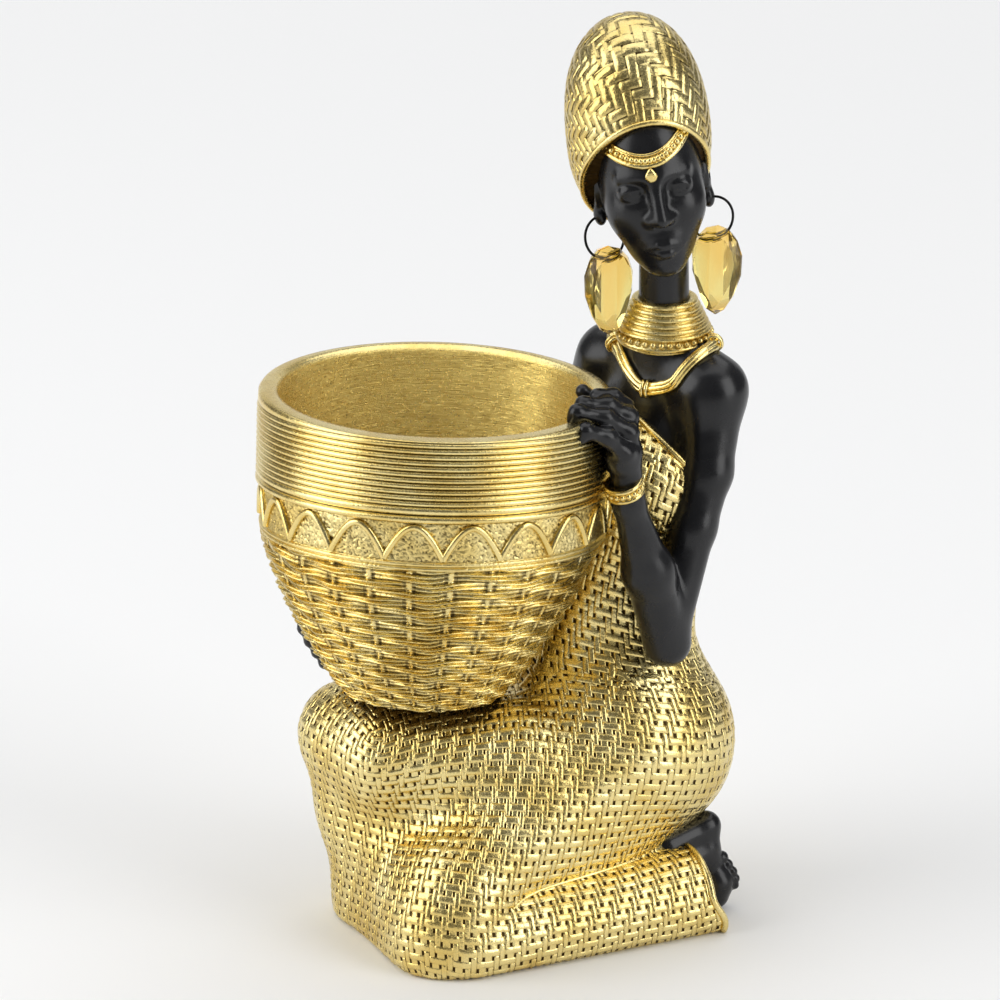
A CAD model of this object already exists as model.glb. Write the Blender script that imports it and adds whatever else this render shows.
"""A cast resin statuette: a kneeling woman in a woven gold dress and turban, with an open wicker basket."""
import math
from collections import deque, namedtuple

import bpy
import numpy as np
from bpy.props import FloatProperty, FloatVectorProperty, IntProperty, PointerProperty
from mathutils import Matrix, Vector


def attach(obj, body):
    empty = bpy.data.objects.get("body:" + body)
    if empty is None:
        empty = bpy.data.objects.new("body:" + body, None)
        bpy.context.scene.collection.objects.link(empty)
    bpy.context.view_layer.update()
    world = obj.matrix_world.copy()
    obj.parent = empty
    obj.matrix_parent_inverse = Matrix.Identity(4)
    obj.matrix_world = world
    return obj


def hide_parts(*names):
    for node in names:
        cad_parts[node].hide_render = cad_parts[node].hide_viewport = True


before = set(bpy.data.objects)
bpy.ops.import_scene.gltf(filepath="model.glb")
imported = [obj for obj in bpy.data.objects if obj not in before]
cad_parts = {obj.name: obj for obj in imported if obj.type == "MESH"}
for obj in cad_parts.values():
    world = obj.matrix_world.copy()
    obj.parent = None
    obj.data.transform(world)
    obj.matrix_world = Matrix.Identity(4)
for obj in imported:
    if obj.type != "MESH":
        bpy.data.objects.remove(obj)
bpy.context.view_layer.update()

bl_info = {
    "name": "Kneeling Statuette",
    "version": (1, 0, 0),
    "blender": (4, 5, 0),
    "location": "View3D > Sidebar > Statuette",
    "description": "Models a cast statuette's woven dress and turban, wicker basket, figure and jewellery",
    "category": "Object",
}

MM = 0.001
CLEAR = 45  # How far out, in millimetres, lines start that are sent in to a form
LEVEL = 0.6  # The height in a weave, from 0 to 1, that lies on the form it covers


def unit(ways):
    return ways / (np.linalg.norm(ways, axis=-1, keepdims=True) + 1e-12)


def circle(count, across, over):
    """Ways all round a circle, from two that are square to each other."""
    turns = np.linspace(0, 2 * math.pi, count, endpoint=False)
    return np.outer(np.cos(turns), across) + np.outer(np.sin(turns), over)


def spaced(line, count, left=0):
    """Points spaced evenly along a line of others, with a length left over at its end."""
    length = np.concatenate([[0], np.cumsum(np.linalg.norm(np.diff(line, axis=0), axis=1))])
    places = np.linspace(0, length[-1] - left, count)
    return np.stack([np.interp(places, length, line[:, i]) for i in range(3)], 1)


# Forms, in millimetres: each gives its points' distances outside a rounded shape, less than 0 inside it.


def bone(start, end, start_radius, end_radius):
    start, end = np.array(start, float), np.array(end, float)
    along = end - start

    def field(points):
        share = np.clip((points - start) @ along / (along @ along), 0, 1)
        off = points - start - share[:, None] * along
        return np.sqrt((off * off).sum(1)) - start_radius - share * (end_radius - start_radius)

    return field


def ball(centre, radii):
    centre, radii = np.array(centre, float), np.array(radii, float)

    def field(points):
        scaled = (points - centre) / radii
        reach = np.sqrt((scaled * scaled).sum(1))
        steep = np.sqrt(((scaled / radii) ** 2).sum(1)) + 1e-9
        return reach * (reach - 1) / steep

    return field


def soft_least(a, b, roundness):
    near = np.maximum(roundness - np.abs(a - b), 0)
    return np.minimum(a, b) - near * near / (4 * roundness)


def blend(roundness, *fields):
    def field(points):
        least = fields[0](points)
        for other in fields[1:]:
            least = soft_least(least, other(points), roundness)
        return least

    return field


def without(field, taken, roundness):
    return lambda points: -soft_least(-field(points), taken(points), roundness)


def chain(points, radii, roundness=2.0):
    """A limb through a few points, each with its own radius."""
    bones = [bone(*points[i : i + 2], *radii[i : i + 2]) for i in range(len(points) - 1)]
    return blend(roundness, *bones)


def slope(field, points):
    """The field's gradient at each point."""
    step = 0.1
    sides = np.eye(3) * step
    return np.stack([field(points + side) - field(points - side) for side in sides], 1) / (2 * step)


def settle(field, points, turns=3, off=0.0):
    """Points moved onto the surface that lies off outside the form's own."""
    for _ in range(turns):
        steep = slope(field, points)
        steepness = np.maximum((steep * steep).sum(1), 0.05)
        move = np.clip((field(points) - off) / steepness, -1, 1)
        points = points - move[:, None] * steep
    return points


def march(field, points, ways, off=0.0):
    """Points sent straight along their ways to the surface that lies off outside the form's own."""
    points = np.array(points, float)
    for _ in range(60):
        points = points + 0.7 * (field(points) - off)[:, None] * ways
    return points


def sampled(field, grid, low, step):
    """The field at whole-number grid places."""
    parts = np.array_split(grid, len(grid) // 200000 + 1)
    return np.concatenate([field(low + step * part) for part in parts])


def net(field, low, high, step):
    """Quads over a form's surface, with one vertex in each grid cell that it passes through."""
    low = np.array(low, float)
    coarse = 4
    blocks = np.ceil((np.array(high) - low) / (step * coarse)).astype(int)
    count = blocks * coarse + 1
    corner = np.stack(np.meshgrid(*[np.arange(n) for n in blocks], indexing="ij"), -1).reshape(-1, 3)
    middle = sampled(field, corner * coarse + coarse / 2, low, step)
    value = np.repeat(np.repeat(np.repeat(middle.reshape(blocks), coarse, 0), coarse, 1), coarse, 2)
    value = np.pad(value, (0, 1), mode="edge")
    inner = np.stack(np.meshgrid(*[np.arange(coarse + 1)] * 3, indexing="ij"), -1).reshape(-1, 3)
    near = corner[np.abs(middle) < 1.8 * coarse * step]
    places = np.unique((near[:, None] * coarse + inner).reshape(-1, 3), axis=0)
    value[tuple(places.T)] = sampled(field, places, low, step)

    inside = value < 0
    crossings, owners, quads = [], [], []
    ring = [(-1, -1), (0, -1), (0, 0), (-1, 0)]
    for axis in range(3):
        here, there = [slice(None)] * 3, [slice(None)] * 3
        here[axis], there[axis] = slice(0, -1), slice(1, None)
        here, there = tuple(here), tuple(there)
        edges = np.argwhere(inside[here] != inside[there])
        first, second = value[here][tuple(edges.T)], value[there][tuple(edges.T)]
        spots = edges.astype(float)
        spots[:, axis] += first / (first - second)
        around = []
        for across, over in ring:
            cell = edges.copy()
            cell[:, (axis + 1) % 3] += across
            cell[:, (axis + 2) % 3] += over
            around.append(np.ravel_multi_index(cell.T, count))
            crossings.append(spots)
            owners.append(around[-1])
        quad = np.stack(around, 1)
        turned = ~inside[here][tuple(edges.T)]
        quad[turned] = quad[turned][:, ::-1]
        quads.append(quad)
    cells, owner = np.unique(np.concatenate(owners), return_inverse=True)
    crossings = np.concatenate(crossings)
    sums = [np.bincount(owner, crossings[:, i]) for i in range(3)]
    points = low + step * np.stack(sums, 1) / np.bincount(owner)[:, None]
    return settle(field, points, 2), np.searchsorted(cells, np.concatenate(quads))


# The figure's forms, on the same axes and sizes as the solids

BODY_TURN = math.radians(27)
FORWARD = np.array([-math.cos(BODY_TURN), -math.sin(BODY_TURN), 0])
LEFT = np.array([-FORWARD[1], FORWARD[0], 0])
HEM_BACK = 40.4
BASKET_CENTRE = np.array([-14.9, -6, 100])
BASKET_TILT = math.radians(2)
BOWL_LEAN = 0.4
RIM_HEIGHT = 127.7
MOUTH_RADIUS = 35.2
BAND_RADIUS = 38.4


def body(forward, left, up):
    """A point from the body's own axes: forward, to her left, and up."""
    return forward * FORWARD + left * LEFT + np.array([0, 0, up])


def above_ground(field, roundness):
    return without(field, lambda points: points[:, 2], roundness)


def tilted(points):
    """Points of the upright basket, with its axis at x = y = 0, set in place and leant, the bowl more."""
    x, y, z = (points - [0, 0, BASKET_CENTRE[2]]).T
    cos, sin = math.cos(BASKET_TILT), math.sin(BASKET_TILT)
    bowl = BOWL_LEAN * np.minimum(z, 0)
    return np.stack([x * cos + (z + bowl) * sin, y, z * cos - x * sin], 1) + BASKET_CENTRE


def upright(points):
    x, y, z = (points - BASKET_CENTRE).T
    cos, sin = math.cos(BASKET_TILT), math.sin(BASKET_TILT)
    return np.stack([x * cos - z * sin, y, z * cos + x * sin + BASKET_CENTRE[2]], 1)


RING_LEAN = 0.08
BAND_LOW, BAND_HIGH = 96.9, 106.0
WICKER_OUT, WICKER_SUNK = 1.5, 0.95
WALL_HEIGHTS = [54, 56.5, 62.5, 67, 72, 79, 82, 86, 90.6, 95, 99, 110]
WALL_RADII = [14.6, 17.4, 22.3, 25.2, 28.2, 32, 33.4, 35.2, 36.9, 38.1, 38.4, 39.2]


def basket_core(points):
    """The basket without the outer part of its wall."""
    x, y, z = upright(points).T
    wall = np.interp(z, WALL_HEIGHTS, WALL_RADII) - 2
    return np.maximum(0.9 * (np.hypot(x, y) - wall), 57.6 - z)


RIGHT_KNEE = body(29.5, -16.5, 44)
skirt = blend(
    9,
    ball(body(-29.4, 6, 40), (25.2, 23, 24.6)),
    bone(body(-16, -9, 40), RIGHT_KNEE, 17, 10.2),
    bone(body(-22, 9, 40), body(19, 18, 17), 19, 12.5),
    bone(body(29.5, -16.5, 43), body(22, -14, 5), 10.2, 11.2),
    bone(body(24, -14, 26), body(20, 17, 10), 12, 12.5),
    ball(body(-4, -2, 20), (34, 26, 24)),
    bone((-25, -10, 43), (2, -9, 43), 12.2, 12.6),
    bone(body(23, -9, 3.5), body(22.8, 19, 3.5), 12, 13),
)
lower_leg = bone(body(21, 22, 5.5), body(-50, 24.5, 6), 12.2, 11.9)


def behind_hem(points):
    """Less than 0 behind the hem, which is drawn in towards the ankle."""
    share = np.clip((points[:, 2] - 2) / 8, 0, 1)
    return points @ FORWARD + HEM_BACK - 0.6 - 3.4 * share * share * (3 - 2 * share)


calf = without(lower_leg, behind_hem, 1.5)
NECKLINE = np.array([1, 0.25, 1]) / math.hypot(1, 0.25, 1)
NECKLINE_SPOT = np.array([28, -2, 122.6])
bodice_shape = blend(
    8,
    bone((27.3, 9, 52), (32.2, 11, 84), 16.5, 13.2),
    bone((19, 7, 58), (22.5, 8, 86), 12.5, 10),
    ball((35, 10.6, 100), (15.2, 15, 20)),
    ball((32, 3, 103), (11.4, 9.2, 10)),
)
bodice = without(bodice_shape, lambda points: (NECKLINE_SPOT - points) @ NECKLINE, 1)
dress = above_ground(without(blend(0.3, blend(8, skirt, bodice), calf), basket_core, 0.3), 1.5)

LEFT_SHOULDER, RIGHT_SHOULDER = (47.6, 4.2, 124), (25.6, 28, 125)
LEFT_ELBOW, LEFT_FOREARM, LEFT_WRIST = (37.6, -9.5, 69), (33, -14, 88), (28.3, -19.5, 106)
LEFT_PALM = (27.4, -20.5, 117)
RIGHT_ELBOW, RIGHT_WRIST = (4, 41.5, 80), (-35.5, 20, 74)
shoulders = blend(
    5,
    bone((45.6, 4.2, 123), (27.6, 28, 124), 6.5, 6.5),
    ball((37, 13.5, 108), (15.4, 13, 17)),
    bone((37, 14, 122), (36.5, 13, 133), 10, 6),
    bone((37.2, 13.5, 120), (36.6, 11.5, 158), 6, 5.5),
    bone((47.2, 4.6, 125), (40, 11.5, 132.5), 7.5, 5.5),
    bone((26, 27.6, 125.6), (35.6, 14.5, 131), 7.5, 5.5),
)
left_arm = blend(
    2.5,
    chain([LEFT_SHOULDER, (46.4, -0.8, 107), (43.3, -3.8, 95), (37.8, -9, 71)], [7.4, 5.7, 5.2, 4.5]),
    chain([LEFT_ELBOW, LEFT_FOREARM, LEFT_WRIST, LEFT_PALM], [5.2, 5.5, 3.2, 3.7], 3),
)
right_arm = blend(
    3,
    chain([RIGHT_SHOULDER, (17, 35, 106), RIGHT_ELBOW], [7.5, 6, 5]),
    chain([RIGHT_ELBOW, (-15, 33, 77), RIGHT_WRIST, (-38.8, 8.4, 70)], [5.2, 5.3, 3.7, 4]),
)


def on_basket(turn, height, off):
    """A point beside the basket's wall, at an angle round it in degrees."""
    radius = np.interp(height, WALL_HEIGHTS, WALL_RADII) + off
    spot = [radius * math.cos(math.radians(turn)), radius * math.sin(math.radians(turn)), height]
    return tilted(np.array([spot]))[0]


def right_finger(row):
    height = 71.4 - 2.7 * row
    turns = [158, 170, 182 - 1.5 * abs(row - 1.2)]
    return chain([on_basket(turn, height - 0.4 * i, 0.5) for i, turn in enumerate(turns)], [2.2, 2, 1.7], 1)


torso_skin = blend(3.5, shoulders, left_arm, right_arm)
right_fingers = blend(1.3, *[right_finger(row) for row in range(4)])
figure = blend(1.2, torso_skin, right_fingers)

FINGERS = [
    ((27.2, -15.8, 126.6), (21.4, -18.2, 129.6)),
    ((28.2, -18.6, 125.2), (18.2, -22.4, 129.2)),
    ((28.2, -21.6, 122.4), (16.8, -25.8, 128.4)),
    ((27.2, -24.2, 118.6), (18.6, -29, 125.2)),
]


def left_finger(knuckle, tip):
    knuckle, tip = np.array(knuckle), np.array(tip)
    root = 0.6 * np.array((27, -20.2, 113)) + 0.4 * knuckle
    middle = (knuckle + tip) / 2 + (0.5, 0.1, 1.1)
    return chain([root, knuckle, middle, tip, tip + (-0.9, 0, -1.6)], [2.15, 2.05, 1.85, 1.6, 1.4], 1.6)


THUMB = [(25.6, -17, 114), (22.8, -14.4, 121), (20.4, -13.4, 127), (18.2, -14.4, 129.8)]
left_hand = blend(
    1,
    blend(3, bone(LEFT_WRIST, LEFT_PALM, 3.2, 3.9), bone((27.2, -18, 122), (26.6, -22.4, 117), 3.2, 3)),
    *[left_finger(*finger) for finger in FINGERS],
    chain(THUMB, [2.6, 2.2, 1.9, 1.6]),
)

TOE_TIPS = [(-46.8, 21.2, 12.2), (-47.9, 22, 10.5), (-48.8, 22.6, 8.8), (-49.4, 22.9, 7.1)]
TOE_TIPS += [(-49.4, 22.8, 5.5)]
TOE_RADII = [1.6, 1.35, 1.3, 1.2, 1.1]


def toe(number):
    tip, size = body(*TOE_TIPS[number]), TOE_RADII[number]
    return bone(0.45 * tip + 0.55 * body(-45.4, 20.4, 8.4 - number), tip, size, size)


foot = above_ground(
    blend(
        0.35,
        blend(
            2,
            bone(body(-35, 20, 11), body(-42.5, 19.6, 15), 5.2, 3.6),
            bone(body(-43.6, 19.2, 20), body(-43.4, 20, 13), 3.1, 2.9),
            bone(body(-43.4, 20, 13), body(-45.6, 21.2, 6.4), 2.9, 3.5),
            bone(body(-45.6, 21.2, 6.4), body(-45.2, 21.2, 3.2), 3.5, 3.2),
            bone(body(-33, 19.5, 17), body(-43.6, 19.2, 20), 4.2, 3),
        ),
        *[toe(number) for number in range(5)],
    ),
    0.6,
)

# The head, in its own axes: side, back and up from its middle. The face is plain and calm.

HEAD = np.array((33.6, 9, 171.2))
HEAD_LEAN, HEAD_TURN, HEAD_NOD = (math.radians(angle) for angle in (9, 4, 3))
HEAD_UP = unit(np.array([-math.sin(HEAD_LEAN), -math.sin(HEAD_NOD), 1]))
HEAD_BACK = unit(np.cross(HEAD_UP, [math.cos(HEAD_TURN), math.sin(HEAD_TURN), 0]))
HEAD_SIDE = np.cross(HEAD_BACK, HEAD_UP)
HEAD_AXES = np.array([HEAD_SIDE, HEAD_BACK, HEAD_UP])
EAR_SIDE, LOBE_BACK, LOBE_HEIGHT = 12.2, 3, -6.6


def on_head(side, back, up):
    return HEAD + np.array([side, back, up]) @ HEAD_AXES


def make_head():
    jaw = blend(4, ball((0, -1.5, -4), (10.3, 10.6, 11)), ball((0, -5.6, -11.5), (7.4, 6.8, 7.6)))
    skull = blend(5, ball((0, 2.5, 5.5), (11.8, 14.5, 16)), jaw)
    face = blend(
        2.5,
        blend(4, skull, ball((5.6, -6.2, -4.2), (4.6, 4.8, 5))),
        ball((0, -9.2, -10.6), (4.8, 3.8, 4.4)),
        ball((0, -8.8, -16.2), (3.8, 3.2, 2.9)),
    )
    browed = blend(3, face, bone((1.8, -11.2, 4.3), (6.8, -8.9, 4.6), 1.3, 0.8))
    socketed = without(browed, ball((4.9, -14.1, 1.5), (3.5, 3, 2.4)), 1.8)
    eye_centre = (4.9, -9.3, 1.4)
    lids = without(ball(eye_centre, (3.45, 2.9, 2.75)), ball((4.9, -12.6, 1.15), (2.6, 2.6, 1.05)), 0.3)
    eyed = blend(0.35, blend(0.5, socketed, lids), ball(eye_centre, (2.9, 2.62, 2.3)))
    nostril = ball((1.8, -12.9, -4.8), (1.4, 1.9, 1.3))
    nose = blend(1.6, bone((0, -12, 3.6), (0, -14.8, -4.5), 1.3, 1.7), nostril)
    nosed = without(blend(1.8, eyed, nose), bone((1, -14.4, -6.6), (1.15, -13.2, -5.9), 0.5, 0.45), 0.5)
    upper = bone((1, -12.9, -10.7), (4.1, -11.5, -11.5), 1.05, 0.4)
    lower = bone((0.8, -12.7, -12.7), (3.7, -11.5, -11.9), 1.15, 0.4)
    lips = blend(
        0.3,
        blend(0.5, upper, ball((0, -13, -11), (1, 0.9, 0.8))),
        blend(0.5, lower, ball((0, -12.6, -12.8), (1, 1.1, 1.05))),
    )
    lips = without(lips, bone((0, -14.1, -11.8), (4.3, -12.3, -11.65), 0.28, 0.22), 0.3)
    lipped = blend(0.6, nosed, lips)
    lobe = ball((EAR_SIDE, LOBE_BACK - 0.3, LOBE_HEIGHT + 0.4), (1.5, 1.9, 2.5))
    cup = ball((13.6, 2.2, 0.4), (1.2, 1.7, 3))
    ear = without(blend(1.2, ball((12, 3, 0), (1.7, 3.2, 5)), lobe), cup, 0.6)
    whole = blend(0.9, lipped, ear)

    def field(points):
        own = (points - HEAD) @ HEAD_AXES.T
        own[:, 0] = np.abs(own[:, 0])
        return whole(own)

    return field


head = make_head()

turban_shape = blend(8, ball((31, 14.8, 179.5), (16, 17, 20)), ball((29.1, 16, 193), (13.4, 13.6, 15)))
TURBAN_EDGE = np.array([-0.3, 1.33, 1]) / math.hypot(0.3, 1.33, 1)
TURBAN_SPOT = np.array([33.5, -1, 187])
TURBAN_MIDDLE = np.array([31, 12, 176])


# Pieces


def deselect():
    if bpy.context.object and bpy.context.object.mode != "OBJECT":
        bpy.ops.object.mode_set(mode="OBJECT")
    bpy.ops.object.select_all(action="DESELECT")


def pick(piece):
    deselect()
    piece.select_set(True)
    bpy.context.view_layer.objects.active = piece


def linked(name, data):
    piece = bpy.data.objects.new(name, data)
    bpy.context.collection.objects.link(piece)
    return piece


def mesh_object(name, points, faces=(), edges=()):
    """A new object with its mesh in millimetres."""
    mesh = bpy.data.meshes.new(name)
    mesh.from_pydata(np.asarray(points).tolist(), edges, np.asarray(faces).tolist())
    return linked(name, mesh)


def edited(piece, *steps):
    """A piece after tools of edit mode, given with their settings, have each worked on all of it."""
    pick(piece)
    bpy.ops.object.mode_set(mode="EDIT")
    for tool, settings in steps:
        bpy.ops.mesh.select_all(action="SELECT")
        tool(**settings)
    bpy.ops.object.mode_set(mode="OBJECT")
    return piece


def vertices_of(piece):
    points = np.empty(3 * len(piece.data.vertices))
    piece.data.vertices.foreach_get("co", points)
    return points.reshape(-1, 3)


def set_vertices(piece, points):
    piece.data.vertices.foreach_set("co", np.asarray(points, float).ravel())
    piece.data.update()


def set_attribute(piece, name, values):
    layer = piece.data.attributes.new(name, "FLOAT", "POINT")
    layer.data.foreach_set("value", np.asarray(values, float))


def loop_values(piece, data, name, size=1):
    """One value, or a few, for each corner of a mesh of quads, four corners to a row."""
    values = np.empty(size * len(piece.data.loops))
    data.foreach_get(name, values)
    return values.reshape(-1, 4, size)


def finish_piece(piece, material, replaced="statuette", smooth=True):
    """Brings a piece that was made in millimetres to size, and fits it to the frame."""
    set_vertices(piece, vertices_of(piece) * MM)
    piece.data.materials.clear()
    piece.data.materials.append(material)
    if smooth:
        piece.data.shade_smooth()
    else:
        piece.data.shade_flat()
    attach(piece, "root")
    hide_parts(replaced)


def joined(name, pieces):
    deselect()
    for piece in pieces:
        piece.select_set(True)
    bpy.context.view_layer.objects.active = pieces[0]
    if len(pieces) > 1:
        bpy.ops.object.join()
    pieces[0].name = pieces[0].data.name = name
    return pieces[0]


def rod(points, radius, closed=False):
    """A round rod along a smooth curve, as a mesh. radius may be one number or one for each point."""
    curve = bpy.data.curves.new("rod", "CURVE")
    curve.dimensions = "3D"
    curve.bevel_depth = 1
    curve.bevel_resolution = 3
    curve.use_fill_caps = not closed
    spline = curve.splines.new("POLY")
    spline.points.add(len(points) - 1)
    spline.use_cyclic_u = closed
    for knot, point, size in zip(spline.points, points, np.broadcast_to(radius, len(points))):
        knot.co = (*point, 1)
        knot.radius = size
    pick(linked("rod", curve))
    bpy.ops.object.convert(target="MESH")
    return bpy.context.object


def bead(centre, radius, segments=8):
    deselect()
    bpy.ops.mesh.primitive_uv_sphere_add(
        segments=segments, ring_count=segments // 2 + 1, radius=radius, location=[float(c) for c in centre]
    )
    bpy.ops.object.transform_apply(location=True, rotation=True, scale=True)
    return bpy.context.object


def bead_ring(count, radius, height, size):
    return [bead((*spot[:2], height), size) for spot in radius * circle(count, (1, 0, 0), (0, 1, 0))]


def smooth_loop(points, count):
    """Points spaced evenly round a closed Catmull-Rom curve through a few others."""
    here = np.array(points, float)
    before, there, after = (np.roll(here, -step, 0) for step in (-1, 1, 2))
    share = np.linspace(0, 1, 24, endpoint=False)[:, None, None]
    fine = 2 * here + (there - before) * share + (2 * before - 5 * here + 4 * there - after) * share**2
    fine = (fine + (3 * here - before - 3 * there + after) * share**3) / 2
    fine = fine.transpose(1, 0, 2).reshape(-1, 3)
    return spaced(np.concatenate([fine, fine[:1]]), count + 1)[:-1]


def meet(first, second, points):
    """Points moved to where two forms' surfaces cross."""
    for _ in range(14):
        points = settle(second, settle(first, points, 1), 1)
    return points


def cut_line(field, spot, normal, centre, count):
    """Points round a form, where a plane cuts its surface."""
    centre = centre - ((centre - spot) @ normal) * normal
    across = unit(np.cross(normal, [0.2, 0.3, 1]))
    ways = circle(count, across, np.cross(normal, across))
    return march(field, centre + CLEAR * ways, -ways)


def spun(name, profile, columns):
    """A turned form from a closed profile of radii and heights, upright on the Z axis."""
    points = [(radius, 0, height) for radius, height in profile]
    edges = [(i, (i + 1) % len(points)) for i in range(len(points))]
    turn = {"steps": columns, "angle": 2 * math.pi, "center": (0, 0, 0), "axis": (0, 0, 1)}
    return edited(
        mesh_object(name, points, edges=edges),
        (bpy.ops.mesh.spin, turn),
        (bpy.ops.mesh.remove_doubles, {"threshold": 1e-4}),
        (bpy.ops.mesh.normals_make_consistent, {"inside": False}),
    )


# Weaving: a remesh into even cells, which are counted off and raised into the strands of a twill


def floor_of(value):
    return value.math("FLOOR") if isinstance(value, Wire) else np.floor(value)


def sine(value):
    return value.math("SINE") if isinstance(value, Wire) else np.sin(value)


def greater(a, b):
    return a.math("MAXIMUM", a, b) if isinstance(a, Wire) else np.maximum(a, b)


def below(value, limit):
    """1 where a value is under the limit, otherwise 0."""
    return value.math("LESS_THAN", value, limit) if isinstance(value, Wire) else (value < limit) * 1.0


def twill(x, y, weave):
    """Height of a twill weave at a place in cells: 1 on top of a strand, and about 0 in the holes.

    Flat strands are weave.row cells apart, and pass over weave.over upright ones and under the rest of four.
    """
    row = floor_of(y * (1 / weave.row))
    off_row = y - (row + 0.5) * weave.row
    column = floor_of(x)
    off_column = x - column - 0.5
    step = (column - weave.lean * row) % 4
    upright = below(step, 3.5 - weave.over)

    flat_along = abs(step + off_column + (weave.over * 0.5 - 3.5))
    flat_end = greater(flat_along - (weave.over * 0.5 - weave.end), 0) * (1 / weave.end)
    flat_side = abs(off_row) * (1 / weave.flat)
    flat = (1 - upright) * below(flat_side, 1) * (1 - 0.4 * flat_side**3 - 0.45 * flat_end**2)

    middle = (3 - weave.over) * 0.5
    here = weave.lean * off_row - (step - middle) * weave.row
    away = abs(here + below(-1 * step, -2.5) * 4 * weave.row * (1 - upright))
    reach = (4 - weave.over) * weave.row * 0.5 + weave.row * 0.5 - weave.flat
    side = abs(off_column) * (1 / weave.upright)
    end = greater(away - (reach - weave.end), 0) * (1 / weave.end)
    shown = below(side, 1) * below(away, reach) * greater(upright, below(-1 * flat_side, -1))
    stood = shown * (1 - 0.4 * side**3 - 0.45 * end**2)
    pair = abs(step + off_column - 1.5 - below(-1 * off_row, 0)) * (1 / weave.under)
    under = 0.72 * below(pair, 1) * (1 - 0.4 * pair**6)
    return greater(greater(flat, stood), greater(under, 0.3 * below(flat_side, 1)))


def plaited(stake, rows):
    """Height of wicker at a place in stakes and rows: pairs of strands, in front of every other stake."""
    turn = stake * (math.pi / 13)
    wavy = rows + 0.1 * sine(13 * turn) + 0.08 * sine(9 * turn + 1) + 0.06 * sine(21 * turn)
    row = floor_of(wavy)
    share = wavy - row
    strand = floor_of(share * 2)
    across = abs(share * 2 - strand - 0.5) * 2
    round_strand = 1 - 0.6 * across**2
    out = sine(math.pi * (stake + row + 0.5) + 0.7 * (strand - 0.5) + 0.4 * sine(7 * turn + 2.3 * row))
    lifted = 0.5 + 0.5 * out
    edge = abs(share - 0.5) * 2
    off_stake = abs(stake - floor_of(stake + 0.5)) * (1 / 0.075)
    pit = 0.14 * below(abs(off_stake - 1.6), 0.6) * (1 - lifted)
    bunched = (0.34 + 0.66 * lifted - pit) * round_strand * (1 - 0.35 * edge**6)
    post = 0.4 * below(off_stake, 1) * (1 - 0.5 * off_stake**2) * below(lifted, 0.5)
    return greater(bunched, post)


# In cells: row spacing, length of the floats, the way they step, half widths of the strands, and their ends
Weave = namedtuple("Weave", "row over lean flat upright under end")


def ring_cells(field, spot, axis, centre, columns, rows, left):
    """Cells in rings, from the plane that cuts a form to a pole on its far side, which is left open."""
    middle = centre - ((centre - spot) @ axis) * axis
    across = unit(np.cross(axis, [0, 0, 1]))
    flat = circle(columns, across, np.cross(axis, across))
    lift = np.linspace(0, math.pi / 2, 90)[:, None, None]
    ways = (np.cos(lift) * flat + np.sin(lift) * axis).reshape(-1, 3)
    lines = march(field, middle + CLEAR * ways, -ways).reshape(90, columns, 3)
    points = np.stack([spaced(line, rows + 1, left) for line in lines.transpose(1, 0, 2)], 1).reshape(-1, 3)
    i, j = (grid.ravel() for grid in np.meshgrid(np.arange(rows), np.arange(columns), indexing="ij"))
    k = (j + 1) % columns
    quads = np.stack([i * columns + j, i * columns + k, (i + 1) * columns + k, (i + 1) * columns + j], 1)
    corners = np.stack([np.stack([j, j + 1, j + 1, j], 1), np.stack([i, i, i + 1, i + 1], 1)], 2)
    return settle(field, points, 2), quads, corners


def even_cells(field, points, faces, pitch, start, ahead):
    """A form's surface as quads of one size that follow its shape, counted off from the nearest to start."""
    piece = mesh_object("cells", points, faces)
    pick(piece)
    piece.data.remesh_voxel_size = pitch * 0.9
    bpy.ops.object.voxel_remesh()
    area = sum(face.area for face in piece.data.polygons)
    done = bpy.ops.object.quadriflow_remesh(mode="FACES", target_faces=int(area / pitch**2), seed=1)
    if "FINISHED" not in done:
        raise RuntimeError("the woven form could not be remeshed")
    points = settle(field, vertices_of(piece), 2)
    quads = np.array([face.vertices for face in piece.data.polygons])
    bpy.data.objects.remove(piece)
    return points, quads, count_cells(points, quads, start, np.array(ahead))


def partners(quads):
    """For each side of each quad, the side of its neighbour that lies along it, or -1 at an open edge."""
    start, end = quads.ravel(), np.roll(quads, -1, 1).ravel()
    key = np.minimum(start, end) * (quads.max() + 1) + np.maximum(start, end)
    order = np.argsort(key, kind="stable")
    same = np.nonzero(key[order][:-1] == key[order][1:])[0]
    other = np.full(len(key), -1)
    other[order[same]], other[order[same + 1]] = order[same + 1], order[same]
    return other


def count_cells(points, quads, start, ahead):
    """Each cell's corners in whole-number places, stepped off outwards from the cell nearest to start.

    The first axis runs ahead there, and the second to its left as seen from outside.
    """
    other = partners(quads)
    ways = np.array([(1, 0), (0, 1), (-1, 0), (0, -1)])
    middle = points[quads].mean(1)
    first = int(np.argmin(np.linalg.norm(middle - start, axis=1)))
    sides = (points[quads[first]] + points[np.roll(quads[first], -1)]) / 2 - middle[first]
    place, turn = np.zeros((len(quads), 2), int), np.full(len(quads), -1)
    turn[first] = -int(np.argmax(sides @ ahead)) % 4
    queue = deque([first])
    while queue:
        cell = queue.popleft()
        for side in range(4):
            beside, its_side = divmod(int(other[4 * cell + side]), 4)
            if beside >= 0 and turn[beside] < 0:
                way = (side + turn[cell]) % 4
                turn[beside] = (way + 2 - its_side) % 4
                place[beside] = place[cell] + ways[way]
                queue.append(beside)
    side_way = ways[(np.arange(4) + turn[:, None]) % 4]
    corner = (side_way + np.roll(side_way, 1, 1)) / 2
    return place[:, None] + corner + 0.5


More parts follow.
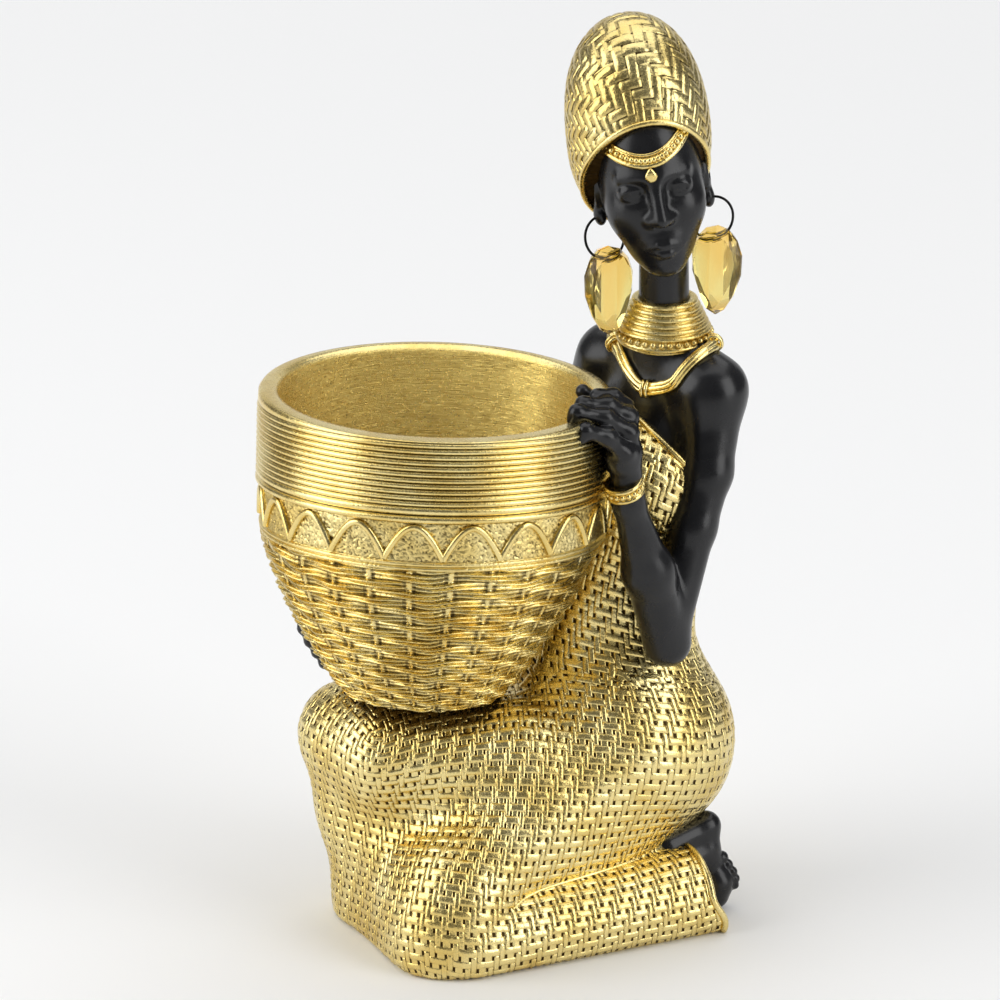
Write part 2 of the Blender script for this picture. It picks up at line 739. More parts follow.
def woven(name, field, cells, weave, depth, parts):
    """A form covered in a twill, from its even cells cut into parts x parts, with any opening closed plain."""
    points, quads, corners = cells
    piece = mesh_object(name, points, quads)
    piece.data.uv_layers.new(name="strand").data.foreach_set("uv", corners.astype(float).ravel())
    edited(piece, (bpy.ops.mesh.subdivide, {"number_cuts": parts - 1}))
    points = settle(field, vertices_of(piece), 2)
    faces = loop_values(piece, piece.data.loops, "vertex_index").astype(int).ravel()
    places = loop_values(piece, piece.data.uv_layers["strand"].data, "uv", 2)
    nudged = places + 0.3 * (places.mean(1, keepdims=True) - places)
    height = twill(nudged[..., 0], nudged[..., 1], weave)
    height = depth * (np.bincount(faces, height.ravel()) / np.bincount(faces) - LEVEL)
    out = unit(slope(field, points))
    height[(points[:, 2] < 0.15) | ((out[:, 2] < -0.9) & (points[:, 2] < 1))] = 0
    points = points + height[:, None] * out
    points[:, 2] = np.maximum(points[:, 2], 0)
    set_vertices(piece, points)
    edited(
        piece,
        (bpy.ops.mesh.fill_holes, {"sides": 0}),
        (bpy.ops.mesh.normals_make_consistent, {"inside": False}),
    )
    bpy.ops.object.mode_set(mode="EDIT")
    bpy.ops.mesh.select_face_by_sides(number=4, type="GREATER", extend=False)
    bpy.ops.mesh.poke(center_mode="MEDIAN")
    bpy.ops.object.mode_set(mode="OBJECT")
    for face in piece.data.polygons:
        if len(face.vertices) != 4:
            for corner in face.loop_indices:
                piece.data.uv_layers["strand"].data[corner].uv = (0, 0)
    return piece


# Finishes


class Wire:
    """A number or colour that runs through a material, and takes part in Python's arithmetic."""

    def __init__(self, finish, socket):
        self.finish, self.socket = finish, socket

    def math(self, operation, *values):
        inputs = dict(enumerate(values or (self,)))
        return self.finish.node("ShaderNodeMath", {"operation": operation}, inputs)

    def __add__(self, other):
        return self.math("ADD", self, other)

    def __sub__(self, other):
        return self.math("SUBTRACT", self, other)

    def __mul__(self, other):
        return self.math("MULTIPLY", self, other)

    def __rsub__(self, other):
        return self.math("SUBTRACT", other, self)

    __radd__, __rmul__ = __add__, __mul__

    def __pow__(self, power):
        return self.math("POWER", self, power)

    def __mod__(self, size):
        return self.math("FLOORED_MODULO", self, size)

    def __abs__(self):
        return self.math("ABSOLUTE", self)

    def between(self, low, high):
        """0 below low, 1 above high, and smooth between."""
        inputs = {"Value": self, "From Min": low, "From Max": high}
        return self.finish.node("ShaderNodeMapRange", {"interpolation_type": "SMOOTHSTEP"}, inputs)


class Finish:
    """A material that is built up in code: constants go on the shader, and node adds what varies."""

    def __init__(self, name, **constants):
        self.material = bpy.data.materials.new(name)
        self.material.use_nodes = True
        self.tree = self.material.node_tree
        self.shader = self.tree.nodes["Principled BSDF"]
        self.set(**constants)
        coordinates = self.tree.nodes.new("ShaderNodeTexCoord")
        self.place = Wire(self, coordinates.outputs["Object"])

    def set(self, **values):
        for name, value in values.items():
            self.feed(self.shader.inputs[name.replace("_", " ")], value)

    def feed(self, socket, value):
        if isinstance(value, Wire):
            self.tree.links.new(value.socket, socket)
        elif socket.type == "RGBA" and len(value) == 3:
            socket.default_value = (*value, 1)
        else:
            socket.default_value = value

    def node(self, kind, settings=None, inputs=None, output=0):
        added = self.tree.nodes.new(kind)
        for name, value in (settings or {}).items():
            setattr(added, name, value)
        for name, value in (inputs or {}).items():
            self.feed(added.inputs[name], value)
        return Wire(self, added.outputs[output])

    def attribute(self, name):
        return self.node("ShaderNodeAttribute", {"attribute_name": name}, output="Fac")

    def noise(self, scale, detail):
        inputs = {"Vector": self.place, "Scale": scale, "Detail": detail}
        return self.node("ShaderNodeTexNoise", {}, inputs)

    def flakes(self, scale):
        """A random shade for each metal flake."""
        return self.node("ShaderNodeTexVoronoi", {}, {"Vector": self.place, "Scale": scale}, "Color")

    def mix(self, share, first, second):
        chosen = self.tree.nodes.new("ShaderNodeMix")
        chosen.data_type = "RGBA"
        for socket, value in ((0, share), (6, first), (7, second)):
            self.feed(chosen.inputs[socket], value)
        return Wire(self, chosen.outputs[2])

    def bump(self, height, strength, distance, under=None):
        inputs = {"Height": height, "Strength": strength, "Distance": distance}
        if under:
            inputs["Normal"] = under
        return self.node("ShaderNodeBump", {}, inputs)


def gilt(name, weave=None, depth=0.5, grooves=True, flake=0.25, grain=0.4, polish=0.24, inside=0, wash=0):
    """Gold paint over cast resin, with small bright flakes in it, and brown in the grooves."""
    colours = bpy.context.scene.statuette_colours
    gold = Finish(name, Metallic=1.0)
    cloud, speck = gold.noise(90, 3), gold.noise(1500, 2)
    shade = gold.mix(cloud.between(0.35, 0.65), colours.gold, colours.pale_gold)
    roughness = polish + (speck - 0.5) * 0.3
    flakes = gold.node("ShaderNodeSeparateColor", {}, {0: gold.flakes(2600)})
    normal = gold.bump(flakes, flake, 0.00025, gold.bump(speck, grain, 0.0002))
    if inside:
        hollow = gold.attribute("inside")
        rings = gold.node("ShaderNodeVectorMath", {"operation": "MULTIPLY"}, {0: gold.place, 1: (1, 1, 60)})
        turned = gold.node("ShaderNodeTexNoise", {}, {"Vector": rings, "Scale": 150})
        normal = gold.bump(turned * hollow, 1.0, 0.0003, normal)
        roughness = roughness + hollow * inside
        shade = gold.mix(hollow, shade, colours.gold_inside)
    if weave:
        strand = gold.node("ShaderNodeUVMap", {"uv_map": "strand"})
        place = gold.node("ShaderNodeSeparateXYZ", {}, {0: strand})
        across = Wire(gold, place.socket.node.outputs[1])
        height = plaited(place, across) if weave == "plaited" else twill(place, across, weave)
        normal = gold.bump(height, 1.0, depth * MM, normal)
        groove = (height + (speck - 0.5) * 0.2).between(0.42 if weave == "plaited" else 0.5, 0.05)
    elif grooves:
        groove = (gold.attribute("relief") + (speck - 0.5) * 0.25).between(0.45, 0.95)
    if wash:
        shade = gold.mix(wash, shade, colours.groove)
    if weave or grooves:
        shade = gold.mix(groove, shade, colours.groove)
        roughness = roughness + groove * 0.3
    gold.set(Base_Color=shade, Roughness=roughness, Normal=normal)
    return gold.material


def black_resin():
    colours = bpy.context.scene.statuette_colours
    black = Finish("black_resin", Specular_IOR_Level=0.4)
    cloud = black.noise(120, 3)
    grain = black.noise(900, 2)
    black.set(
        Base_Color=black.mix(cloud.between(0.3, 0.7), colours.skin, colours.skin_worn),
        Roughness=0.2 + cloud * 0.14,
        Normal=black.bump(grain, 0.1, 0.0002),
    )
    return black.material


def black_wire():
    wire = Finish("black_wire", Metallic=0.7, Roughness=0.35)
    worn = wire.noise(600, 2)
    wire.set(Base_Color=wire.mix(worn.between(0.45, 0.75), (0.01, 0.01, 0.011), (0.05, 0.045, 0.04)))
    return wire.material


def amber_acrylic():
    colours = bpy.context.scene.statuette_colours
    amber = Finish("amber_acrylic", Roughness=0.03, IOR=1.36, Transmission_Weight=0.95)
    tint = amber.attribute("relief")
    amber.set(Base_Color=amber.mix(tint.between(0.15, 0.85), colours.amber, colours.amber_deep))
    return amber.material


def colour(name, description, value):
    kind = {"subtype": "COLOR", "min": 0, "max": 1}
    return FloatVectorProperty(name=name, description=description, default=value, **kind)


def length(name, description, value):
    kind = {"subtype": "DISTANCE", "unit": "LENGTH", "min": 0}
    return FloatProperty(name=name, description=description, default=value, **kind)


class StatuetteSizes(bpy.types.PropertyGroup):
    dress_strand: length("Dress strand", "Distance between the upright strands of the dress's weave", 0.0013)
    turban_strand: length("Turban strand", "Distance between the strands of the turban's weave", 0.0019)
    weave_depth: length("Weave depth", "How deep the weave is cast", 0.0005)
    rolled_edge: length("Rolled edge", "Radius of the rolled edges of the dress and turban", 0.0008)
    ridge_pitch: length("Rim ridges", "Distance between the fine ridges under the basket's rim", 0.00131)
    wicker_row: length("Wicker row", "Height of a row of the basket's wicker", 0.00225)
    stakes: IntProperty(name="Stakes", description="Stakes that the wicker goes round", default=26, min=8)
    arches: IntProperty(name="Arches", description="Arches in the basket's band", default=19, min=5)
    cord: length("Necklace strand", "Radius of one strand of the necklace", 0.00074)
    wire: length("Earring wire", "Radius of the earrings' wire", 0.0003)


class StatuetteColours(bpy.types.PropertyGroup):
    gold: colour("Gold", "The gold paint", (0.80, 0.60, 0.20))
    pale_gold: colour("Pale gold", "The gold paint where it is thin and bright", (0.92, 0.76, 0.34))
    gold_inside: colour("Gold inside", "Brighter paint inside the basket", (0.92, 0.70, 0.22))
    groove: colour("Groove", "Brown wash in the grooves", (0.055, 0.032, 0.010))
    skin: colour("Skin", "The black resin", (0.006, 0.006, 0.007))
    skin_worn: colour("Worn skin", "The black resin where it is handled", (0.011, 0.011, 0.012))
    amber: colour("Amber", "The acrylic drops", (1.0, 0.93, 0.38))
    amber_deep: colour("Deep amber", "The acrylic drops where the colour gathers", (1.0, 0.68, 0.18))
    floor: colour("Floor", "The pale studio floor", (0.9, 0.9, 0.9))


class STATUETTE_OT_dress(bpy.types.Operator):
    """Model the woven dress with its rolled neckline and hem"""

    bl_idname = "statuette.dress"
    bl_label = "Dress"

    def execute(self, context):
        sizes = context.scene.statuette_sizes
        pitch, depth = sizes.dress_strand / MM, sizes.weave_depth / MM
        weave = Weave(row=2, over=3, lean=1, flat=0.62, upright=0.44, under=0.62, end=0.4)
        rough = net(dress, (-58, -60, -4), (62, 52, 128), 1.2)
        cells = even_cells(dress, *rough, pitch, (-5, -45, 30), FORWARD)
        piece = woven("statuette_dress", dress, cells, weave, depth, 2)
        finish_piece(piece, gilt("woven_gilt", weave, 0.7 * depth))
        edge = sizes.rolled_edge / MM
        neckline = cut_line(bodice_shape, NECKLINE_SPOT, NECKLINE, np.array((32.5, 11, 112)), 120)
        ring = body(4 - HEM_BACK, 24.3, 6) + 11.9 * circle(110, LEFT, (0, 0, 1))
        hem = meet(above_ground(lower_leg, 0.6), behind_hem, ring)
        hem[:, 2] = np.maximum(hem[:, 2], edge)
        along = [body(ahead, 29, 17) for ahead in np.linspace(14, 6 - HEM_BACK, 80)]
        crease = meet(skirt, lower_leg, np.array(along))
        crease += 0.15 * (slope(skirt, crease) + slope(lower_leg, crease))
        fold = 0.45 - 0.2 * np.linspace(-1, 1, len(crease)) ** 4
        rods = [rod(neckline, edge, True), rod(hem, edge, True), rod(crease, fold)]
        finish_piece(joined("statuette_borders", rods), gilt("border_gilt", grooves=False))
        return {"FINISHED"}


class STATUETTE_OT_turban(bpy.types.Operator):
    """Model the woven turban with its rolled front edge"""

    bl_idname = "statuette.turban"
    bl_label = "Turban"

    def execute(self, context):
        sizes = context.scene.statuette_sizes
        pitch, depth = sizes.turban_strand / MM, 0.6 * sizes.weave_depth / MM
        weave = Weave(row=1, over=2, lean=-1, flat=0.42, upright=0.42, under=0.9, end=0.3)
        columns = 4 * round(2 * math.pi * 16.6 / pitch / 4)
        rows = round(38 / pitch)
        cells = ring_cells(turban_shape, TURBAN_SPOT, TURBAN_EDGE, TURBAN_MIDDLE, columns, rows, 2.5)
        piece = woven("statuette_turban", turban_shape, cells, weave, depth, 5)
        finish_piece(piece, gilt("turban_gilt", weave, 0.9 * depth, wash=0.16))
        edge = cut_line(turban_shape, TURBAN_SPOT, TURBAN_EDGE, TURBAN_MIDDLE, 140)
        rods = [rod(edge, 0.9 * sizes.rolled_edge / MM, True)]
        pole = march(turban_shape, [TURBAN_MIDDLE + CLEAR * TURBAN_EDGE], [-TURBAN_EDGE])[0]
        across = np.cross(TURBAN_EDGE, [1, 0, 0])
        for radius in (0.9, 2.3):
            coil = pole + radius * circle(24, across, np.cross(TURBAN_EDGE, across))
            rods.append(rod(settle(turban_shape, coil), sizes.rolled_edge / MM, True))
        finish_piece(joined("statuette_turban_edge", rods), gilt("turban_edge_gilt", grooves=False))
        return {"FINISHED"}


class STATUETTE_OT_figure(bpy.types.Operator):
    """Model the bare shoulders, arms, hands, foot and head"""

    bl_idname = "statuette.figure"
    bl_label = "Figure"

    def execute(self, context):
        black = black_resin()
        parts = {
            "statuette_figure": (figure, (-58, -26, 56), (60, 58, 166), 0.75),
            "statuette_hand": (left_hand, (10, -34, 100), (36, -8, 136), 0.38),
            "statuette_foot": (foot, (26, -16, -3), (60, 20, 26), 0.5),
            "statuette_head": (head, (16, -12, 148), (52, 30, 196), 0.42),
        }
        for name, (field, low, high, step) in parts.items():
            points, quads = net(field, low, high, step)
            finish_piece(mesh_object(name, points, quads), black)
        return {"FINISHED"}


def arc(radius, middle, out, half, steps, reach=90):
    """Profile points round the outside of a ridge, from reach degrees below its middle to reach above."""
    turns = np.radians(np.linspace(-reach, reach, steps))
    return [(radius + out * math.cos(turn), middle + half * math.sin(turn)) for turn in turns]


def bulge(radius, low, high, out, steps=6):
    """Profile points of one round ridge, from its low edge to its high one."""
    return arc(radius, (low + high) / 2, out, 0.47 * (high - low), steps)


class STATUETTE_OT_basket(bpy.types.Operator):
    """Model the basket: its smooth inside, ridged neck, band of arches and wicker bowl"""

    bl_idname = "statuette.basket"
    bl_label = "Basket"

    def leant(self, points):
        """Points of the upright basket, with its rings leant back under the level rim, set in place."""
        x, y, z = points.T
        share = np.clip((RIM_HEIGHT - z) / 3.3, 0, 1)
        return tilted(np.stack([x, y, z - RING_LEAN * y * share], 1))

    def wall(self, sizes):
        """The plain basket with its lip and the fine ridges under it."""
        pitch = sizes.ridge_pitch / MM
        profile = [(0, 57.2), (14, 57.2), (20, 62.5), (26, 72), (31.4, 82), (35, 90.6), (37, 100)]
        profile += [(38.2, BAND_HIGH)]
        profile += bulge(38.9, BAND_HIGH, 107.85, 1.1) + bulge(39.0, 107.85, 109.85, 0.95)
        for ridge in range(11):
            profile += bulge(39.15, 109.85 + ridge * pitch, 109.85 + (ridge + 1) * pitch, 0.75, 5)
        top = 109.85 + 11 * pitch
        profile += [(39.5, top + 0.15), (39.7, top + 0.6), (39.6, RIM_HEIGHT - 0.8), (39.1, RIM_HEIGHT - 0.2)]
        profile += [(38.5, RIM_HEIGHT), (36.6, RIM_HEIGHT)]
        profile += [(35.7, RIM_HEIGHT - 0.3), (35.3, RIM_HEIGHT - 1.2)]
        profile += [(MOUTH_RADIUS, 125.4), (34.2, 119), (33.2, 113), (32.3, 107.5), (31.6, 103), (30.6, 97)]
        profile += [(29.3, 90), (27.3, 82.5), (24.2, 74), (20.5, 67), (16.5, 62.6), (0, 60.9)]
        piece = spun("statuette_basket", profile, 216)
        points = vertices_of(piece)
        radius, height = np.hypot(points[:, 0], points[:, 1]), points[:, 2]
        ridged = (radius > 38.8) & (height > BAND_HIGH) & (height < top + 0.1)
        outside = radius > MOUTH_RADIUS + 0.3
        depth = np.where(outside, 0.1, 0.1 + 0.8 * np.clip((104 - height) / 12, 0, 1))
        relief = np.where(ridged, np.clip((39.75 - radius) / 0.6, 0, 1), depth)
        set_vertices(piece, np.where(outside[:, None], self.leant(points), tilted(points)))
        set_attribute(piece, "relief", relief)
        set_attribute(piece, "inside", ~outside & (height > 58))
        return piece

    def band(self):
        """The stippled band, with two thin ridges below it."""
        profile = [(36.6, BAND_LOW - 2.6), *bulge(38.2, BAND_LOW - 1.9, BAND_LOW - 0.85, 0.6)]
        profile += bulge(38.25, BAND_LOW - 0.85, BAND_LOW + 0.3, 0.75)
        profile += [(BAND_RADIUS, height) for height in np.arange(BAND_LOW + 0.35, BAND_HIGH + 0.2, 0.31)]
        profile += [(37, BAND_HIGH + 0.4), (36.6, BAND_LOW + 3)]
        piece = spun("statuette_band", profile, 700)
        points = vertices_of(piece)
        radius = np.hypot(points[:, 0], points[:, 1])
        ground = (np.abs(radius - BAND_RADIUS) < 0.01) & (points[:, 2] > BAND_LOW + 0.3)
        stipple = np.clip(np.random.default_rng(8).normal(0, 0.15, len(points)), -0.25, 0.28) * ground
        points[:, :2] *= (1 + stipple / radius)[:, None]
        set_vertices(piece, self.leant(points))
        set_attribute(piece, "relief", np.where(ground, 0.5 - stipple * 1.4, 0.1))
        return piece

    def arch_rods(self, sizes):
        rods = []
        for arch in range(sizes.arches):
            share = np.linspace(0, 1, 25)
            turn = 2 * math.pi * (arch + share + 0.45) / sizes.arches
            height = BAND_LOW + 0.9 + 7.3 * np.sin(math.pi * share) ** 0.95
            points = np.stack([38.75 * np.cos(turn), 38.75 * np.sin(turn), height], 1)
            rods.append(rod(self.leant(points), 0.78))
        return joined("statuette_arches", rods)

    def wicker(self, sizes):
        """Rows of paired strands that pass in front of every other stake, and behind the ones between."""
        row, stakes = sizes.wicker_row / MM, sizes.stakes
        low, high = 57.0, BAND_LOW - 1.5
        heights = np.linspace(low, high, round((high - low) / 0.26) + 1)
        radii = np.interp(heights, WALL_HEIGHTS, WALL_RADII)
        outer = list(zip(radii, heights))
        inner = [(max(radius - 2.6, 1), height + 0.2) for radius, height in outer[::-14]]
        piece = spun("statuette_wicker", outer + inner, stakes * 20)
        points = vertices_of(piece)
        x, y, height = points.T
        turn, radius = np.arctan2(y, x), np.hypot(x, y)
        outside = np.abs(radius - np.interp(height, WALL_HEIGHTS, WALL_RADII)) < 0.02
        up_wall = np.concatenate([[0], np.cumsum(np.hypot(np.diff(radii), np.diff(heights)))])
        stake = turn * stakes / (2 * math.pi) + stakes / 2
        rows = np.interp(height, heights, up_wall) / row
        raised = (WICKER_OUT * plaited(stake, rows) - WICKER_SUNK) * np.clip((high - height) / 0.6, 0, 1)
        wall = np.interp(self.leant(points)[:, 2], WALL_HEIGHTS, WALL_RADII)
        wall -= np.interp(height, WALL_HEIGHTS, WALL_RADII)
        grown = 1 + np.where(outside, raised + wall, 0) / radius
        points[:, :2] *= grown[:, None]
        set_vertices(piece, self.leant(points))
        corner = loop_values(piece, piece.data.loops, "vertex_index").astype(int)
        places = np.stack([stake, rows], 1)[corner[..., 0]]
        around = places[:, :, 0]
        around += stakes * (around < around.max(1, keepdims=True) - stakes / 2)
        piece.data.uv_layers.new(name="strand").data.foreach_set("uv", places.ravel())
        return piece

    def execute(self, context):
        sizes = context.scene.statuette_sizes
        finish_piece(self.wall(sizes), gilt("basket_gilt", flake=0.2, grain=0.25, inside=0.06))
        finish_piece(self.band(), gilt("stippled_gilt", grain=0.9, polish=0.32))
        finish_piece(self.arch_rods(sizes), gilt("arch_gilt", grooves=False, flake=0.15, grain=0.2))
        finish_piece(self.wicker(sizes), gilt("wicker_gilt", "plaited", 0.75))
        return {"FINISHED"}


class STATUETTE_OT_jewellery(bpy.types.Operator):
    """Model the ringed collar, necklace, headband with its pendant, and bracelet"""

    bl_idname = "statuette.jewellery"
    bl_label = "Jewellery"

    def collar(self):
        profile = [(5.4, 132), (7, 132), (10.6, 133.9)]
        rings = [(10.6, 134.6, 0.65), (10.35, 137, 0.62)]
        rings += [(9.7 - 0.62 * i, 138.3 + 1.27 * i, 0.66) for i in range(5)]
        for radius, height, size in rings:
            profile += arc(radius - 0.35, height, size, size, 6, 75)
        profile += [(5.9, 144.2), (5.2, 143.4)]
        piece = joined("statuette_collar", [spun("collar", profile, 96), *bead_ring(34, 10.55, 135.8, 0.74)])
        points = vertices_of(piece)
        cos, sin = math.cos(math.radians(4)), math.sin(math.radians(4))
        x, y, z = points.T
        set_vertices(piece, np.stack([x + 37, y * cos - z * sin + 22.4, y * sin + z * cos + 0.5], 1))
        return piece

    def necklace(self, sizes):
        knots = [
            (49.6, 9, 136.5), (44, 3, 131), (38, 0, 127.5), (31, 0, 126), (26, 5, 128), (24, 13, 132),
            (27, 22, 134), (36, 25.5, 135), (45, 21, 136), (49, 15, 137),
        ]
        size = sizes.cord / MM
        route = settle(shoulders, smooth_loop(knots, 150), 5, size)
        out = unit(slope(shoulders, route))
        ahead = unit(np.roll(route, -1, 0) - np.roll(route, 1, 0))
        beside = unit(np.cross(ahead, out))
        rods = []
        for off, lift in ((-1, 0), (1, 0), (0, 0.75)):
            wave = 0.15 * size * np.sin(np.linspace(0, 8 * math.pi, len(route)) + off * 2)
            strand = route + (off * size * 1.02 + wave)[:, None] * beside + lift * size * out
            rods.append(rod(strand, size, True))
        for share in (0.025, 0.30, 0.52, 0.93):
            spot = int(share * len(route))
            for step in (-1, 1):
                middle = route[spot] + step * 0.55 * ahead[spot] + 0.3 * size * out[spot]
                wrap = middle + 1.9 * size * circle(20, 1.25 * beside[spot], out[spot])
                rods.append(rod(wrap, 0.585 * size, True))
        return joined("statuette_necklace", rods)

    def headband(self):
        def on_brow(share, off, lift):
            """Points of the band: share -1 to 1 along it, and off -1 to 1 across it, downwards."""
            side = (10.4 + 0.9 * off) * share - 0.9
            up = 8.7 + 5.0 * share**2 - off * (1.35 - 0.3 * share**2)
            starts = np.stack([on_head(a, -24, b) for a, b in zip(side, up)])
            return march(head, starts, np.broadcast_to(HEAD_BACK, starts.shape), lift)

        shares = np.linspace(-0.8, 1, 61)
        rods = [
            rod(on_brow(shares, 0.9, 0.25), 0.72 - 0.2 * shares**2),
            rod(on_brow(shares, -0.85, 0.1), 0.4),
            *[rod(on_brow(shares, off, -0.35), 0.6) for off in (-0.4, 0, 0.4)],
        ]
        rods += [bead(spot, 0.74) for spot in on_brow(np.linspace(-0.78, 0.97, 20), 0.02, 0.45)]
        pendant = bead((0, 0, 0), 1, 16)
        shape = vertices_of(pendant) * (1.45, 0.6, 1.7)
        shape[:, 0] *= 1 - 0.3 * np.clip(shape[:, 2], 0, 2)
        spot = march(head, [on_head(-0.6, -24, 5.6)], [HEAD_BACK], 0.35)[0]
        set_vertices(pendant, shape @ HEAD_AXES + spot)
        return joined("statuette_headband", [*rods, pendant])

    def bracelet(self):
        along = unit(np.array(LEFT_WRIST) - LEFT_FOREARM)
        profile = [(2.6, -1.6), *arc(4, -1.25, 0.45, 0.5, 7), *arc(4, 1.25, 0.45, 0.5, 7), (2.6, 1.6)]
        piece = joined("statuette_bracelet", [spun("bracelet", profile, 64), *bead_ring(18, 4, 0, 0.7)])
        turned = Vector((0, 0, 1)).rotation_difference(Vector(along)).to_matrix()
        spot = np.array(LEFT_WRIST) + 3.9 * along
        set_vertices(piece, vertices_of(piece) @ np.array(turned).T + spot)
        return piece

    def execute(self, context):
        sizes = context.scene.statuette_sizes
        dull = gilt("collar_gilt", grooves=False, polish=0.3, wash=0.1)
        bright = gilt("necklace_gilt", grooves=False, polish=0.16)
        finish_piece(self.collar(), dull)
        finish_piece(self.necklace(sizes), bright)
        finish_piece(self.headband(), bright)
        finish_piece(self.bracelet(), bright)
        return {"FINISHED"}


EARRINGS = {
    "left": {"lobe": -1, "hang": (0.2, -0.2, -1), "yaw": 28},
    "right": {"lobe": 1, "hang": (0.2, -0.56, -0.84), "yaw": -28},
}
HOOP_RADIUS = 4.9
DROP_LENGTH, DROP_WIDTH, DROP_THICKNESS = 20.5, 12.4, 7.6
DROP_ABOVE_HOLE = 3


class STATUETTE_OT_earrings(bpy.types.Operator):
    """Model the wire hoops and the faceted amber drops"""

    bl_idname = "statuette.earrings"
    bl_label = "Earrings"

    def hang(self, earring):
        """The middle of an earring's hoop, and its way down."""
        down = unit(np.array(earring["hang"]))
        return on_head(earring["lobe"] * EAR_SIDE, LOBE_BACK, LOBE_HEIGHT) + HOOP_RADIUS * down, down

    def hoop(self, name, earring, radius):
        middle, down = self.hang(earring)
        yaw = math.radians(earring["yaw"])
        across = np.array([math.cos(yaw), math.sin(yaw), 0])
        across = unit(across - (across @ down) * down)
        return joined(name, [rod(middle + HOOP_RADIUS * circle(72, across, -down), radius, True)])

    def drop(self, name, earring):
        """A pointed drop, ridged down its front and back, with large facets and small ones round them."""
        half_width, half_depth = DROP_WIDTH / 2, DROP_THICKNESS / 2
        low, high = DROP_ABOVE_HOLE - DROP_LENGTH, DROP_ABOVE_HOLE
        widest = high - 0.4 * DROP_LENGTH
        points = []
        for size, shift, count in ((1, 0, 14), (0.82, 0.5, 14)):
            turns = 2 * math.pi * (np.arange(count) + shift) / count + math.pi / 2
            under = np.maximum(-np.sin(turns), 0)
            wide = size * half_width * np.cos(turns) * (1 - 0.36 * under**1.6)
            tall = np.sin(turns) * np.where(np.sin(turns) > 0, high - widest, widest - low)
            tall = widest + tall * (1 if size == 1 else 0.86)
            for x, z in zip(wide, tall):
                for side in (-1, 1):
                    depth = 0.35 if size == 1 else half_depth - 0.40 * abs(x)
                    points.append((x, side * depth, z))
        for side in (-1, 1):
            points += [(0, side * half_depth, widest + 4.2), (0, side * half_depth, low + 4.2)]
            points += [(x, side * (half_depth - 1.3), widest + 6) for x in (-2.3, 2.3)]
        piece = edited(
            mesh_object(name, points),
            (bpy.ops.mesh.convex_hull, {"join_triangles": False}),
            (bpy.ops.mesh.dissolve_limited, {"angle_limit": math.radians(2)}),
            (bpy.ops.mesh.normals_make_consistent, {"inside": False}),
        )
        x, y, z = vertices_of(piece).T
        ends = np.maximum((z - widest - 0.5) / 5, (low + 7 - z) / 6)
        set_attribute(piece, "relief", np.clip(np.maximum(ends, 1.25 * abs(x) / half_width - 0.6), 0, 1))
        turned = np.array(Matrix.Rotation(math.radians(earring["yaw"]), 3, "Z"))
        middle, down = self.hang(earring)
        set_vertices(piece, vertices_of(piece) @ turned.T + middle + HOOP_RADIUS * down)
        drill = self.hoop("drill", earring, 0.6)
        bore = piece.modifiers.new("bore", "BOOLEAN")
        bore.object, bore.operation, bore.solver = drill, "DIFFERENCE", "EXACT"
        pick(piece)
        bpy.ops.object.modifier_apply(modifier="bore")
        bpy.data.objects.remove(drill)
        return piece

    def execute(self, context):
        wire, amber = black_wire(), amber_acrylic()
        radius = context.scene.statuette_sizes.wire / MM
        for side, earring in EARRINGS.items():
            hoop = self.hoop(f"hoop_{side}", earring, radius)
            finish_piece(hoop, wire, f"earring_hoop_{side}")
            drop = self.drop(f"drop_{side}", earring)
            finish_piece(drop, amber, f"earring_drop_{side}", smooth=False)
        return {"FINISHED"}


CAMERA_DISTANCE = 1.0
CAMERA_HEIGHT = math.radians(18)
CAMERA_AIM = Vector((0, 0, 0.1))
CAMERA_LENS = 160


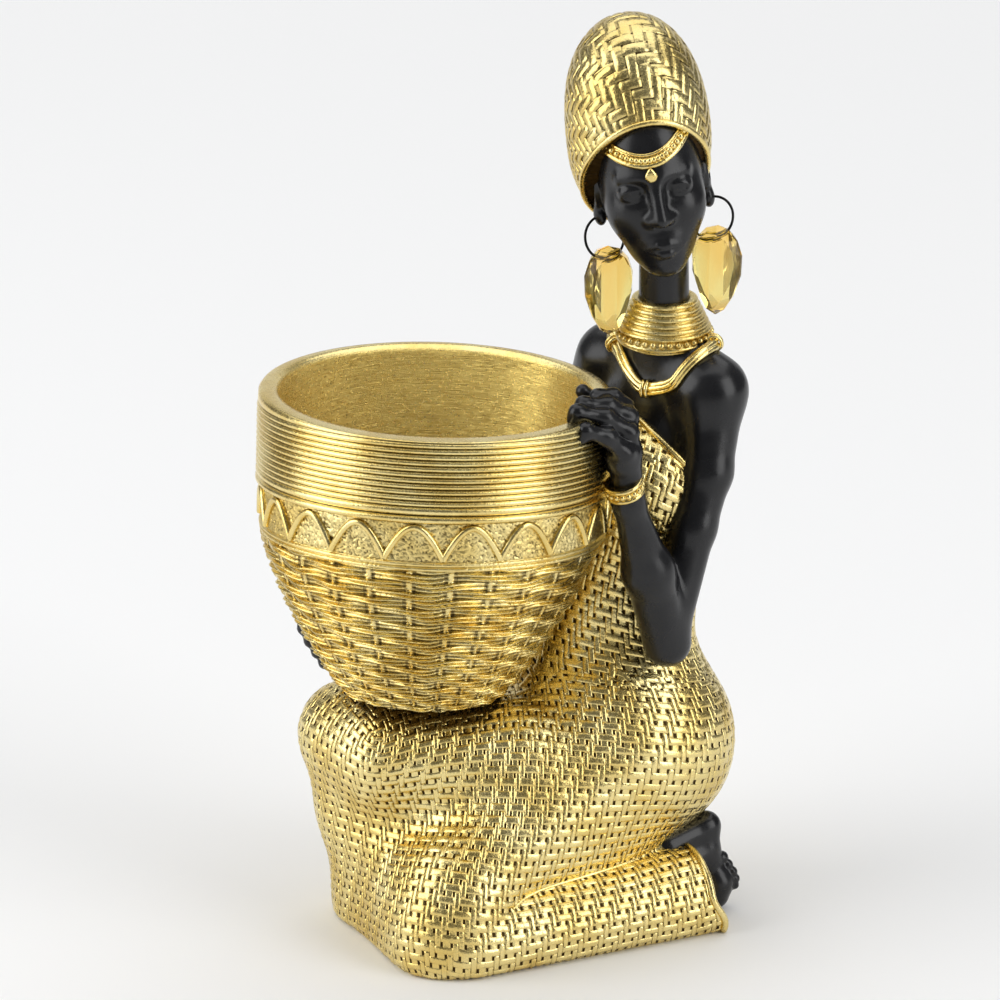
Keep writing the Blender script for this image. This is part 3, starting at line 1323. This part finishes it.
class STATUETTE_OT_stage(bpy.types.Operator):
    """Lay the pale floor, and set the soft lights and the camera"""

    bl_idname = "statuette.stage"
    bl_label = "Stage"

    def light(self, name, place, size, power, aim=(0, 0, 0.09)):
        lamp = bpy.data.lights.new(name, "AREA")
        lamp.shape, lamp.size, lamp.size_y = "RECTANGLE", *size
        lamp.energy = power
        holder = linked(name, lamp)
        holder.location = place
        holder.rotation_euler = (Vector(place) - Vector(aim)).to_track_quat("Z", "Y").to_euler()

    def execute(self, context):
        scene = context.scene
        deselect()
        bpy.ops.mesh.primitive_grid_add(x_subdivisions=2, y_subdivisions=2, size=14, location=(0, 3, 0))
        floor = context.object
        floor.name = "floor"
        bpy.ops.object.transform_apply(location=True, rotation=True, scale=True)
        pale = Finish("pale_floor", Roughness=0.7, Base_Color=scene.statuette_colours.floor)
        floor.data.materials.append(pale.material)
        self.light("left_softbox", (-1.45, -0.4, 0.75), (1.3, 1.5), 17)
        self.light("right_softbox", (1.3, -0.75, 0.7), (0.9, 1.4), 12)
        self.light("top_softbox", (0, 0.7, 2.1), (3.2, 2.8), 40, aim=(0, 0.7, 0))
        self.light("back_softbox", (0, 1.7, 0.5), (2.8, 1.0), 5)
        world = bpy.data.worlds.new("studio")
        world.use_nodes = True
        sky = world.node_tree.nodes["Background"].inputs
        sky["Color"].default_value = (0.95, 0.97, 1, 1)
        sky["Strength"].default_value = 0.16
        scene.world = world
        scene.view_settings.view_transform = "Standard"

        lens = bpy.data.cameras.new("camera")
        lens.lens, lens.sensor_width = CAMERA_LENS, 36
        lens.clip_start, lens.clip_end = 0.01, 50
        camera = linked("camera", lens)
        back = Vector((0, -math.cos(CAMERA_HEIGHT), math.sin(CAMERA_HEIGHT)))
        camera.location = CAMERA_AIM + CAMERA_DISTANCE * back
        camera.rotation_euler = back.to_track_quat("Z", "Y").to_euler()
        scene.camera = camera
        return {"FINISHED"}


STEPS = (
    STATUETTE_OT_stage,
    STATUETTE_OT_dress,
    STATUETTE_OT_turban,
    STATUETTE_OT_figure,
    STATUETTE_OT_basket,
    STATUETTE_OT_jewellery,
    STATUETTE_OT_earrings,
)


class STATUETTE_PT_panel(bpy.types.Panel):
    """Lists the statuette's pieces, sizes and colours"""

    bl_idname = "STATUETTE_PT_panel"
    bl_label = "Kneeling Statuette"
    bl_space_type = "VIEW_3D"
    bl_region_type = "UI"
    bl_category = "Statuette"

    def draw(self, context):
        layout = self.layout
        for step in STEPS:
            layout.operator(step.bl_idname)
        for group in (context.scene.statuette_sizes, context.scene.statuette_colours):
            column = layout.box().column()
            for name in group.__annotations__:
                column.prop(group, name)


CLASSES = (StatuetteSizes, StatuetteColours, *STEPS, STATUETTE_PT_panel)


def register():
    for item in CLASSES:
        bpy.utils.register_class(item)
    bpy.types.Scene.statuette_sizes = PointerProperty(type=StatuetteSizes)
    bpy.types.Scene.statuette_colours = PointerProperty(type=StatuetteColours)


def unregister():
    del bpy.types.Scene.statuette_colours
    del bpy.types.Scene.statuette_sizes
    for item in reversed(CLASSES):
        bpy.utils.unregister_class(item)


def main():
    register()
    for step in STEPS:
        group, name = step.bl_idname.split(".")
        getattr(getattr(bpy.ops, group), name)()


if __name__ == "__main__":
    main()
